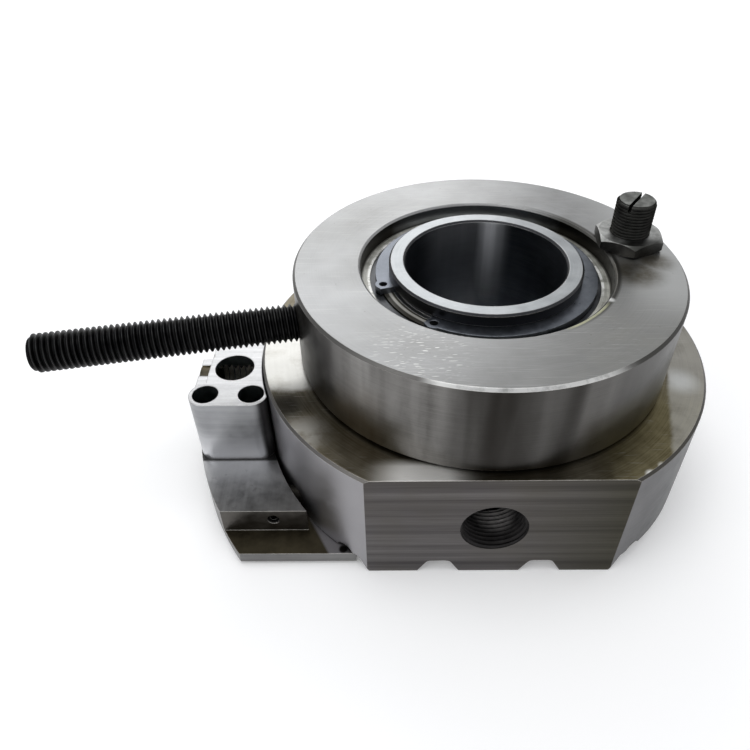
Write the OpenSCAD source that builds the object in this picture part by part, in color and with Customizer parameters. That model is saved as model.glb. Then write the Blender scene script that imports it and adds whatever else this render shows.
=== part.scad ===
// Facing head for a 50 mm boring bar, in millimetres.
// The bar axis is Z. The lands rest on z = 0 and the front flat looks towards -Y.
// The body turns with the bar, the torque ring is held still by its rod, and each
// turn the trip stud knocks the star wheel on one tooth and feeds the tool slide out.

/* [Body] */
// Diameter of the boring bar that the head clamps on
bar_d = 50; // [44:0.5:51]
// Outside diameter of the hub tube, which is also the bore of the two bearings
hub_d = 60; // [58:0.5:61]
// Outside diameter of the flange
flange_d = 146; // [143:0.5:152]
// Height of the flange top above the resting face
flange_top = 42.7; // [41:0.1:46]
// Distance from the bar axis to the front flat
flat_y = 62.5; // [61:0.5:66]
// Height of the lands under the flange
land_h = 5.3; // [4.5:0.1:5.6]
// Half width of the land field at the resting face
land_half = 37.2; // [36:0.1:37.6]
// Distance of each 60 degree groove from the middle
groove_x = 15.7; // [14:0.1:17]
// Width of each groove at the resting face
groove_w = 12.8; // [11:0.1:14]
// Diameter of the tapped hole for the bar set screw
bar_screw_d = 20; // [16:0.5:21]
// Height of the bar set screw above the resting face
bar_screw_z = 21.2; // [19:0.1:24]
// Small edge break on the turned parts
edge = 0.8; // [0.4:0.1:1.2]

/* [Torque ring] */
// Outside diameter of the torque ring
ring_d = 120; // [118:0.5:126]
// Height of the torque ring
ring_h = 30.3; // [29.8:0.1:34]
// Gap between the flange top and the underside of the ring
ring_gap = 0.4; // [0.3:0.05:0.6]
// Diameter of the torque rod and of the trip stud
rod_d = 12; // [10:0.5:12]
// Distance from the bar axis to the free end of the torque rod
rod_reach = 140; // [110:5:220]
// Pitch of the thread ribs on the free part of the torque rod
rod_pitch = 1.75; // [1.5:0.25:2.5]
// Direction of the torque rod round the bar axis, in degrees
rod_angle = 190.4; // [170:0.5:200]
// Height of the rod axis above the underside of the ring
rod_rise = 15.6; // [14:0.1:18]
// Distance from the bar axis to the trip stud
stud_r = 47.8; // [47.5:0.1:48.6]
// Direction of the trip stud round the bar axis, in degrees
stud_angle = 12.6; // [0:0.5:40]
// Height of the stud above the top of the ring
stud_rise = 15; // [10:0.5:20]
// Width across the flats of the stud nut
nut_af = 19; // [17:0.5:20]
// Height of the stud nut
nut_h = 4; // [3.5:0.5:6]

/* [Bearings] */
// Radial section of each ball bearing, from bore to outside
bearing_section = 9; // [8.5:0.1:9.5]
// Width of each ball bearing
bearing_w = 10; // [9.8:0.1:10.2]
// Diameter of the bearing balls
ball_d = 5.5; // [5:0.1:5.6]
// Number of balls in each bearing
ball_n = 22; // [16:1:24]
// Thickness of the circlip on the hub
clip_t = 2; // [1.8:0.05:2.2]

/* [Feed] */
// Distance of the feed screw from the middle plane
feed_y = 10; // [9.5:0.1:10.5]
// Height of the feed screw axis above the resting face
feed_z = 28; // [27.5:0.1:28.5]
// Diameter of the feed screw
feed_d = 10; // [8:0.5:10]
// Radial travel of the tool slide
slide_travel = 12; // [6:0.5:12]
// Outside radius of the star wheel
star_r = 17.5; // [17:0.1:17.7]
// Number of teeth of the star wheel
star_n = 8; // [6:1:8]
// Thickness of the star wheel
star_t = 5.5; // [4.5:0.1:5.6]

/* [Tool slide] */
// Radius of the curved outside of the tool slide
slide_r = 98; // [97:0.5:104]
// Width of the lower step of the slide, along Y
slab_w = 119.2; // [112:0.1:119.2]
// Height of the top of the lower step
slab_top = 5; // [4:0.1:5]
// Width of the upper step of the slide, along Y
step_w = 101; // [98:0.1:103]
// Height of the top of the upper step
step_top = 14.5; // [14:0.1:15.5]
// Height of the top of the tool block
block_top = 39.5; // [38.5:0.1:42]
// Distance from the middle plane to the front of the tool block
block_front = 28.5; // [27.5:0.1:30]
// Distance from the middle plane to the back of the tool block
block_back = 21; // [20:0.1:24]
// Diameter of the tool bore
tool_d = 13; // [10:0.5:13]
// Diameter of the two tool holder holes
holder_d = 8.4; // [6:0.1:8.4]
// Distance between the two tool holder holes
holder_pitch = 14.8; // [14:0.1:15]
// Diameter of the tool clamp screw
clamp_d = 14; // [12:0.5:14]
// Diameter of the two guide rods
guide_d = 6; // [5:0.1:6]

/* [Hidden] */
$fn = 96;

// Running fit between a turning or sliding round part and its hole
fit = 0.05;
// Clear gap between moving parts that do not guide each other
clear = 0.3;
eps = 0.01;

bar_r = bar_d / 2;
hub_r = hub_d / 2;
flange_r = flange_d / 2;
flank_dx = land_h / tan(60);
groove_round = 2;
rim_notch_r = 1.8;
rim_notch_y = -flat_y + 5;
rim_notch_x = land_half + flank_dx + 1;
bar_screw_out = flat_y - 14.5;

ring_r = ring_d / 2;
ring_bottom = flange_top + ring_gap;
ring_top = ring_bottom + ring_h;
hub_top = ring_top + 0.8;
rod_z = ring_bottom + rod_rise;
rod_start = hub_r + bearing_section + 2.8;
rod_core_r = rod_d / 2 - 0.9;
rod_gap = 0.1;
rod_chamfer = 1;
rib_crest = 0.3;
rib_start = ring_r + rod_gap - rod_start;
rib_n = floor((rod_reach - rod_start - rod_chamfer - rib_crest - rib_start) / rod_pitch);

lip_t = 2.1;
bearing_r = hub_r + bearing_section;
bearing_z1 = ring_bottom + lip_t;
spacer_w = 3;
bearing_z2 = bearing_z1 + bearing_w + spacer_w;
clip_z = bearing_z2 + bearing_w;
clip_out_r = hub_r + 4.5;
clip_shift = 0.3;
pitch_r = (hub_r + bearing_r) / 2;
race_t = 3;
cage_t = 2.3;
cage_h = 7.2;

// Annular channel under the ring, where the star wheel teeth and the stud tip run
channel_in = 43.4;
channel_out = 55.2;
channel_top = ring_bottom + 6.4;
tip_r = 3;
tip_z = ring_bottom + 2.9;
shank_z = tip_z + 4;
stud_top = ring_top + stud_rise;
nut_turn = 25;
slot_turn = 53.5;

star_x = -sqrt(stud_r * stud_r - feed_y * feed_y);
pocket_half = 3.7;
pocket_r = star_r + 0.6;
washer_t = 0.8;
washer_r = 8;
seat_r = feed_d / 2 - 0.5;
journal_r = feed_d / 2 - 1;
bush_r = 8;
bush_end = -70.5;
journal_bush_r = 6;
journal_len = 6.4;
screw_end = -93.5;
drag_x = -60;
drag_r = 2.5;
drag_screw_r = 3;
drag_end_y = feed_y + 16;

slide_bottom = 1;
slab_inner = -land_half - flank_dx - 0.8;
block_inner_r = flange_r + 0.6;
step_inner_x = 10;
step_inner_r = block_inner_r + step_inner_x;
block_left = -90.3;
boss_out = 4;
boss_top = 37.5;
corner_r = 5.4;
tool_x = -82;
tool_y = -9.9;
holder_x = -82;
holder_y = -block_front + corner_r;
holder_bottom = step_top + 8.5;
clamp_y = -9;
clamp_z = 31;
clamp_end = -75.6;
clamp_head = block_left - boss_out + 0.3;
clamp_tip = tool_x - tool_d / 2 - 0.2;
nut_r = 7;
nut_in = -74;
nut_out = -85;
guide_y = step_w / 2 - 10.5;
guide_z = 10.4;
guide_in = -22;
guide_out = -84;
grub_x = -67.5;
grub_r = 2;
block_screw_r = 3;
block_screw_top = 20.5;
head_r = 5;
head_h = 6;
head_seat = slab_top + 3;
block_screw_at = [[tool_x - 0.3, tool_y - 12.4], [tool_x - 1, 15]];

steel = [0.70, 0.71, 0.72];
dark_steel = [0.14, 0.14, 0.15];
bright = [0.82, 0.83, 0.84];
bronze = [0.66, 0.48, 0.26];
nylon = [0.90, 0.88, 0.80];

// A shaft along X from x0 to x1 on the feed screw axis
module along_x(x0, x1, r, y, z) {
    translate([min(x0, x1), y, z])
        rotate([0, 90, 0])
            cylinder(r = r, h = abs(x1 - x0));
}

// A shaft along Y from y0 to y1
module along_y(y0, y1, r, x, z) {
    translate([x, min(y0, y1), z])
        rotate([-90, 0, 0])
            cylinder(r = r, h = abs(y1 - y0));
}

// A flat washer shape standing on z = 0
module tube(r_out, r_in, h) {
    difference() {
        cylinder(r = r_out, h = h);
        translate([0, 0, -1])
            cylinder(r = r_in, h = h + 2);
    }
}

// Hexagon socket cut for a screw head
module hex_hole(af, depth) {
    cylinder(r = af / sqrt(3), h = depth, $fn = 6);
}

// Turned outline of the body: flange, bearing shoulder and hub tube
module body_turned() {
    rotate_extrude()
        polygon([
            [bar_r + edge, 0],
            [flange_r, 0],
            [flange_r, flange_top - edge],
            [flange_r - edge, flange_top],
            [hub_r + 3, flange_top],
            [hub_r + 3, bearing_z1],
            [hub_r, bearing_z1],
            [hub_r, clip_z],
            [hub_r - 1.5, clip_z],
            [hub_r - 1.5, clip_z + clip_t + 0.15],
            [hub_r, clip_z + clip_t + 0.15],
            [hub_r, hub_top - 0.6],
            [hub_r - 0.6, hub_top],
            [bar_r + 0.6, hub_top],
            [bar_r, hub_top - 0.6],
            [bar_r, edge]
        ]);
}

// Rounded upper corner of a groove, side is 1 or -1, angles from a0 to a1
function groove_corner(side, a0, a1) =
    [for (i = [0 : 3]) [
        side * (groove_w / 2 - flank_dx - groove_round * tan(30)) + groove_round * cos(a0 + i * (a1 - a0) / 3),
        land_h - groove_round + groove_round * sin(a0 + i * (a1 - a0) / 3)
    ]];

// One 60 degree groove along Y in the resting face
module land_groove(x) {
    translate([x, flange_r + 1, 0])
        rotate([90, 0, 0])
            linear_extrude(height = 2 * flange_r + 2)
                polygon(concat(
                    [[-groove_w / 2 - 1 / tan(60), -1]],
                    [[groove_w / 2 + 1 / tan(60), -1]],
                    groove_corner(1, 30, 90),
                    groove_corner(-1, 90, 150)
                ));
}

// Room outside the land field, side is 1 or -1
module land_side(side) {
    translate([0, flange_r + 1, 0])
        rotate([90, 0, 0])
            linear_extrude(height = 2 * flange_r + 2)
                polygon([
                    [side * (land_half - 1 / tan(60)), -1],
                    [side * (flange_r + 2), -1],
                    [side * (flange_r + 2), land_h],
                    [side * (land_half + flank_dx), land_h]
                ]);
}

module body() {
    color(steel)
    difference() {
        body_turned();
        translate([-flange_r - 1, -flange_r - 11, -1])
            cube([2 * flange_r + 2, flange_r + 11 - flat_y, flange_top + 2]);
        land_groove(groove_x);
        land_groove(-groove_x);
        land_side(1);
        land_side(-1);
        along_y(-flange_r - 1, 0, bar_screw_d / 2, 0, bar_screw_z);
        along_x(-flange_r, -rim_notch_x, rim_notch_r, rim_notch_y, land_h);
        along_x(rim_notch_x, flange_r, rim_notch_r, rim_notch_y, land_h);
        along_x(star_x - pocket_half, star_x + pocket_half, pocket_r, feed_y, feed_z);
        translate([star_x - pocket_half, feed_y - pocket_r, feed_z])
            cube([2 * pocket_half, 2 * pocket_r, flange_top]);
        along_x(star_x - pocket_half + 1, -flange_r - 1, bush_r, feed_y, feed_z);
        along_x(star_x, star_x + pocket_half + journal_len, journal_bush_r, feed_y, feed_z);
        along_y(feed_y + bush_r - 1, flange_r, drag_screw_r, drag_x, feed_z);
        along_x(guide_in + 2, -flange_r - 1, guide_d / 2 + fit, guide_y, guide_z);
        along_x(guide_in + 2, -flange_r - 1, guide_d / 2 + fit, -guide_y, guide_z);
    }
}

module bar_set_screw() {
    color(dark_steel)
    difference() {
        union() {
            along_y(-bar_screw_out, -bar_r - 2, bar_screw_d / 2 - fit, 0, bar_screw_z);
            along_y(-bar_r - 2 - eps, -bar_r - 0.6, bar_screw_d / 2 - 2, 0, bar_screw_z);
        }
        translate([0, -bar_screw_out - 0.1, bar_screw_z])
            rotate([-90, 0, 0])
                hex_hole(10, 8);
    }
}

module torque_ring() {
    color(steel)
    difference() {
        rotate_extrude()
            polygon([
                [bearing_r - 2.6, ring_bottom],
                [channel_in, ring_bottom],
                [channel_in, channel_top],
                [channel_out, channel_top],
                [channel_out, ring_bottom],
                [ring_r - edge, ring_bottom],
                [ring_r, ring_bottom + edge],
                [ring_r, ring_top - edge],
                [ring_r - edge, ring_top],
                [bearing_r + 0.6, ring_top],
                [bearing_r, ring_top - 0.6],
                [bearing_r, bearing_z1],
                [bearing_r - 2.6, bearing_z1]
            ]);
        rotate([0, 0, stud_angle])
            translate([stud_r, 0, ring_bottom])
                cylinder(r = rod_d / 2 + fit, h = ring_h + 1);
        rotate([0, 0, rod_angle])
            along_x(rod_start - 0.3, ring_r + 1, rod_core_r, 0, rod_z);
    }
}

// Inner race standing at height z
module inner_race(z) {
    rotate_extrude()
        difference() {
            translate([hub_r, z])
                square([race_t, bearing_w]);
            translate([pitch_r, z + bearing_w / 2])
                circle(r = ball_d / 2 + fit);
        }
}

// Outer race standing at height z
module outer_race(z) {
    rotate_extrude()
        difference() {
            translate([bearing_r - race_t, z])
                square([race_t, bearing_w]);
            translate([pitch_r, z + bearing_w / 2])
                circle(r = ball_d / 2 + fit);
        }
}

module inner_races() {
    color(bright) {
        inner_race(bearing_z1);
        inner_race(bearing_z2);
    }
}

module outer_races() {
    color(bright) {
        outer_race(bearing_z1);
        outer_race(bearing_z2);
    }
}

// One row of balls with radius r round the bearing that stands at height z
module ball_row(z, r) {
    for (i = [0 : ball_n - 1])
        rotate([0, 0, i * 360 / ball_n])
            translate([pitch_r, 0, z + bearing_w / 2])
                sphere(r = r, $fn = 32);
}

module bearing_balls() {
    color(bright) {
        ball_row(bearing_z1, ball_d / 2);
        ball_row(bearing_z2, ball_d / 2);
    }
}

// Cage of the bearing that stands at height z
module cage(z) {
    difference() {
        translate([0, 0, z + (bearing_w - cage_h) / 2])
            tube(pitch_r + cage_t / 2, pitch_r - cage_t / 2, cage_h);
        ball_row(z, ball_d / 2 + fit);
    }
}

module ball_cages() {
    color(bronze) {
        cage(bearing_z1);
        cage(bearing_z2);
    }
}

module bearing_shields() {
    color(dark_steel)
        for (z = [bearing_z1 + 0.4, bearing_z1 + bearing_w - 0.9, bearing_z2 + 0.4, bearing_z2 + bearing_w - 0.9])
            translate([0, 0, z])
                tube(bearing_r - race_t, hub_r + race_t + clear, 0.5);
}

module inner_spacer() {
    color(steel)
        translate([0, 0, bearing_z1 + bearing_w])
            tube(hub_r + 2.5, hub_r, spacer_w);
}

module outer_spacer() {
    color(steel)
        translate([0, 0, bearing_z1 + bearing_w])
            tube(bearing_r, bearing_r - 2.5, spacer_w);
}

module hub_circlip() {
    color(dark_steel)
    translate([0, 0, clip_z])
        rotate([0, 0, 215.3])
            difference() {
                union() {
                    translate([-clip_shift, 0, 0])
                        cylinder(r = clip_out_r, h = clip_t);
                    for (a = [-22.5, 22.5])
                        rotate([0, 0, a])
                            translate([hub_r + 2.4, 0, 0])
                                cylinder(r = 2.7, h = clip_t);
                }
                translate([0, 0, -1])
                    cylinder(r = hub_r - 1.45, h = clip_t + 2);
                for (a = [-22.5, 22.5])
                    rotate([0, 0, a])
                        translate([hub_r + 2.6, 0, -1])
                            cylinder(r = 1.25, h = clip_t + 2, $fn = 32);
                translate([0, 0, -1])
                    linear_extrude(height = clip_t + 2)
                        polygon([
                            [0, 0],
                            [60 * cos(18.2), 60 * sin(18.2)],
                            [60 * cos(18.2), -60 * sin(18.2)]
                        ]);
            }
}

// Outline points of one thread rib: its crest and the root after it
function rod_rib(x) = [
    [rod_d / 2, x],
    [rod_d / 2, x + rib_crest],
    [rod_core_r, x + (rib_crest + rod_pitch) / 2]
];

module torque_rod() {
    color(dark_steel)
    rotate([0, 0, rod_angle])
        translate([rod_start, 0, rod_z])
            rotate([0, 90, 0])
                rotate_extrude()
                    polygon(concat(
                        [[0, 0]],
                        [[rod_core_r - rod_chamfer, 0]],
                        [[rod_core_r, rod_chamfer]],
                        [[rod_core_r, rib_start]],
                        [for (i = [0 : rib_n - 1]) each rod_rib(rib_start + i * rod_pitch)],
                        [[rod_d / 2, rib_start + rib_n * rod_pitch]],
                        [[rod_d / 2, rod_reach - rod_start - rod_chamfer]],
                        [[rod_d / 2 - rod_chamfer, rod_reach - rod_start]],
                        [[0, rod_reach - rod_start]]
                    ));
}

module trip_stud() {
    color(dark_steel)
    rotate([0, 0, stud_angle])
        translate([stud_r, 0, 0])
            difference() {
                rotate_extrude()
                    polygon([
                        [0, tip_z],
                        [tip_r - 0.6, tip_z],
                        [tip_r, tip_z + 0.6],
                        [tip_r, shank_z],
                        [rod_d / 2 - 1, shank_z],
                        [rod_d / 2, shank_z + 1],
                        [rod_d / 2, stud_top - 0.5],
                        [rod_d / 2 - 0.5, stud_top],
                        [0, stud_top]
                    ]);
                translate([0, 0, stud_top - 2.5])
                    rotate([0, 0, slot_turn - stud_angle])
                        translate([-rod_d, -0.5, 0])
                            cube([2 * rod_d, 1, 4]);
            }
}

module stud_nut() {
    color(dark_steel)
    rotate([0, 0, stud_angle])
        translate([stud_r, 0, ring_top])
            difference() {
                intersection() {
                    rotate([0, 0, nut_turn - stud_angle])
                        cylinder(r = nut_af / sqrt(3), h = nut_h, $fn = 6);
                    rotate_extrude()
                        polygon([
                            [0, 0],
                            [nut_af / 2, 0],
                            [nut_af / sqrt(3), 0.7],
                            [nut_af / sqrt(3), nut_h - 1],
                            [nut_af / 2, nut_h],
                            [0, nut_h]
                        ]);
                }
                translate([0, 0, -1])
                    cylinder(r = rod_d / 2 + fit, h = nut_h + 2);
            }
}

module star_wheel() {
    color(steel)
    difference() {
        along_x(star_x - star_t / 2, star_x + star_t / 2, star_r, feed_y, feed_z);
        for (i = [0 : star_n - 1])
            translate([star_x - star_t, feed_y, feed_z])
                rotate([90 + i * 360 / star_n, 0, 0])
                    translate([0, star_r - 0.8, 0])
                        rotate([0, 90, 0])
                            cylinder(r = 4.2, h = 2 * star_t, $fn = 48);
        along_x(star_x - star_t, star_x + star_t, seat_r, feed_y, feed_z);
        translate([star_x, feed_y, feed_z - 9])
            cylinder(r = 1, h = 30, $fn = 32);
    }
}

module star_pin() {
    color(dark_steel)
        translate([star_x, feed_y, feed_z - 9])
            cylinder(r = 1, h = 19, $fn = 32);
}

module feed_screw() {
    color(dark_steel)
    difference() {
        union() {
            along_x(star_x - pocket_half, screw_end + 1, feed_d / 2, feed_y, feed_z);
            translate([screw_end, feed_y, feed_z])
                rotate([0, 90, 0])
                    cylinder(r1 = feed_d / 2 - 1, r2 = feed_d / 2, h = 1);
            along_x(star_x - pocket_half - 1, star_x + star_t / 2 + 0.3, seat_r, feed_y, feed_z);
            along_x(star_x, star_x + pocket_half + journal_len - 0.6, journal_r, feed_y, feed_z);
        }
        translate([star_x, feed_y, feed_z - 9])
            cylinder(r = 1, h = 30, $fn = 32);
    }
}

module thrust_washers() {
    color(bronze)
        for (x = [star_x - pocket_half, star_x + pocket_half - washer_t])
            difference() {
                along_x(x, x + washer_t, washer_r, feed_y, feed_z);
                along_x(x - 1, x + washer_t + 1, seat_r + clear, feed_y, feed_z);
            }
}

module screw_bush() {
    color(bronze)
    difference() {
        along_x(star_x - pocket_half, bush_end, bush_r, feed_y, feed_z);
        along_x(star_x, bush_end - 1, feed_d / 2 + fit, feed_y, feed_z);
        along_y(feed_y, feed_y + bush_r + 1, drag_r + fit, drag_x, feed_z);
    }
}

module journal_bush() {
    color(bronze)
    difference() {
        along_x(star_x + pocket_half, star_x + pocket_half + journal_len, journal_bush_r, feed_y, feed_z);
        along_x(star_x, star_x + pocket_half + journal_len + 1, journal_r + fit, feed_y, feed_z);
    }
}

module drag_plug() {
    color(nylon)
    difference() {
        union() {
            along_y(feed_y + 2, feed_y + bush_r + 1, drag_r, drag_x, feed_z);
            along_y(feed_y + bush_r + 0.5, drag_end_y, drag_screw_r, drag_x, feed_z);
        }
        along_x(drag_x - 5, drag_x + 5, feed_d / 2 + 0.02, feed_y, feed_z);
    }
}

module drag_screw() {
    color(dark_steel)
    difference() {
        along_y(drag_end_y, drag_end_y + 8, drag_screw_r, drag_x, feed_z);
        translate([drag_x, drag_end_y + 8.1, feed_z])
            rotate([90, 0, 0])
                hex_hole(3, 3);
    }
}

// Outline of the tool slide: a sector of the disc with radius slide_r
module slide_sector(width, inner_x) {
    intersection() {
        circle(r = slide_r, $fn = 180);
        translate([-slide_r - 1, -width / 2])
            square([slide_r + 1 + inner_x, width]);
    }
}

module slide_base() {
    color(steel)
    difference() {
        union() {
            translate([0, 0, slide_bottom])
                linear_extrude(height = slab_top - slide_bottom)
                    slide_sector(slab_w, slab_inner);
            translate([0, 0, slab_top - 0.5])
                linear_extrude(height = step_top - slab_top + 0.5)
                    difference() {
                        slide_sector(step_w, -40);
                        translate([step_inner_x, 0])
                            circle(r = step_inner_r, $fn = 180);
                    }
        }
        translate([tool_x, tool_y, 0])
            cylinder(r = tool_d / 2, h = 30);
        block_screw_holes();
        for (s = [-1, 1]) {
            along_x(-40, guide_out - 0.5, guide_d / 2, s * guide_y, guide_z);
            along_y(s * guide_y, s * (step_w / 2 + 1), grub_r, grub_x, guide_z);
        }
    }
}

// Outline of the tool block seen from above
module block_outline() {
    difference() {
        union() {
            translate([block_left, -block_front + corner_r])
                square([-block_left - 60, block_back + block_front - corner_r]);
            translate([holder_x - holder_pitch / 2, -block_front])
                square([holder_pitch, block_front]);
            for (s = [-1, 1])
                translate([holder_x + s * holder_pitch / 2, holder_y])
                    circle(r = corner_r);
        }
        circle(r = block_inner_r, $fn = 180);
        translate([holder_x + holder_pitch / 2 + corner_r, -block_front - 1])
            square([20, corner_r + 1]);
    }
}

module tool_block() {
    color(steel)
    difference() {
        union() {
            translate([0, 0, step_top])
                linear_extrude(height = block_top - step_top)
                    block_outline();
            translate([block_left - boss_out, clamp_y - clamp_d / 2 - 1.7, step_top])
                cube([boss_out + 1, clamp_d + 0.7, boss_top - step_top]);
        }
        translate([tool_x, tool_y, 0])
            cylinder(r = tool_d / 2, h = block_top + 1);
        for (s = [-1, 1])
            translate([holder_x + s * holder_pitch / 2, holder_y, holder_bottom])
                cylinder(r = holder_d / 2, h = block_top);
        along_x(clamp_end, block_left - boss_out - 1, clamp_d / 2, clamp_y, clamp_z);
        along_x(-60, nut_out, nut_r, feed_y, feed_z);
        along_x(-60, block_left - 1, feed_d / 2 + clear, feed_y, feed_z);
        block_screw_holes();
    }
}

// Holes for the two screws that hold the tool block down
module block_screw_holes() {
    for (p = block_screw_at) {
        translate([p[0], p[1], -1])
            cylinder(r = block_screw_r, h = block_screw_top + 1.5);
        translate([p[0], p[1], -1])
            cylinder(r = head_r + 0.25, h = head_seat + 1);
    }
}

module block_screws() {
    color(dark_steel)
    for (p = block_screw_at)
        translate([p[0], p[1], head_seat])
            difference() {
                union() {
                    translate([0, 0, -head_h])
                        cylinder(r = head_r, h = head_h);
                    translate([0, 0, -0.5])
                        cylinder(r = block_screw_r, h = block_screw_top - head_seat + 0.5);
                }
                translate([0, 0, -head_h - 0.1])
                    hex_hole(5, 3);
            }
}

module feed_nut() {
    color(bronze)
    difference() {
        along_x(nut_in, nut_out, nut_r, feed_y, feed_z);
        along_x(nut_in + 1, nut_out - 1, feed_d / 2 + fit, feed_y, feed_z);
    }
}

module guide_rods() {
    color(bright)
    for (s = [-1, 1])
        along_x(guide_in, guide_out, guide_d / 2, s * guide_y, guide_z);
}

module rod_grub_screws() {
    color(dark_steel)
    for (s = [-1, 1])
        difference() {
            along_y(s * (guide_y + guide_d / 2), s * (step_w / 2 - 0.8), grub_r, grub_x, guide_z);
            translate([grub_x, s * (step_w / 2 - 0.7), guide_z])
                rotate([s * 90, 0, 0])
                    hex_hole(2, 2);
        }
}

module tool_clamp_screw() {
    color(dark_steel)
    difference() {
        along_x(clamp_head, clamp_tip, clamp_d / 2 - fit, clamp_y, clamp_z);
        translate([clamp_head - 0.1, clamp_y, clamp_z])
            rotate([0, 90, 0])
                hex_hole(6, 3);
    }
}

body();
bar_set_screw();
torque_ring();
inner_races();
outer_races();
bearing_balls();
ball_cages();
bearing_shields();
inner_spacer();
outer_spacer();
hub_circlip();
torque_rod();
trip_stud();
stud_nut();
star_wheel();
star_pin();
feed_screw();
thrust_washers();
screw_bush();
journal_bush();
drag_plug();
drag_screw();
slide_base();
tool_block();
block_screws();
feed_nut();
guide_rods();
rod_grub_screws();
tool_clamp_screw();
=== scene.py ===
import math

import bmesh
import bpy
from mathutils import Matrix, Vector


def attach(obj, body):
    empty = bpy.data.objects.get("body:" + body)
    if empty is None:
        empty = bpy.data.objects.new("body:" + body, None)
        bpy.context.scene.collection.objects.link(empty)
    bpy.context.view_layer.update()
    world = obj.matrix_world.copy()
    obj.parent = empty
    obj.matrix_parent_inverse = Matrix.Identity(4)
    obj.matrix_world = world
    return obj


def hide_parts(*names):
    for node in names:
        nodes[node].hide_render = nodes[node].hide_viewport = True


# Looks of the facing head: finishes, threads, floor, light and camera.
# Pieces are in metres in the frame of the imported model. The finishes count places in millimetres.

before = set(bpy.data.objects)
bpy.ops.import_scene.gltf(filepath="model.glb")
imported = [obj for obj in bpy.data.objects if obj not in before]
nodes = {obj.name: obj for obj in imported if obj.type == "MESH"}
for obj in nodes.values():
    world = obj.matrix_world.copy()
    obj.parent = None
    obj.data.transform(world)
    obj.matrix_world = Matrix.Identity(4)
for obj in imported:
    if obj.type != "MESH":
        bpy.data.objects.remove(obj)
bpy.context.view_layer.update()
scene = bpy.context.scene

mm = 0.001

# Heights in millimetres
LEDGE_TOP = 5.0
FRONT_HOLE_Z = 21.2
FLANGE_TOP = 42.7
STUD_TIP = 46.0
ROD_Z = 58.7
RING_TOP = 73.4
STUD_TOP = 88.4

# Holes in the top of the tool block: x, y and the radius that the painted shade inside them reaches, in
# millimetres
BLOCK_HOLES = ((-82.0, -9.9, 6.8), (-89.4, -23.1, 4.5), (-74.6, -23.1, 4.5))


# Finishes

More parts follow.
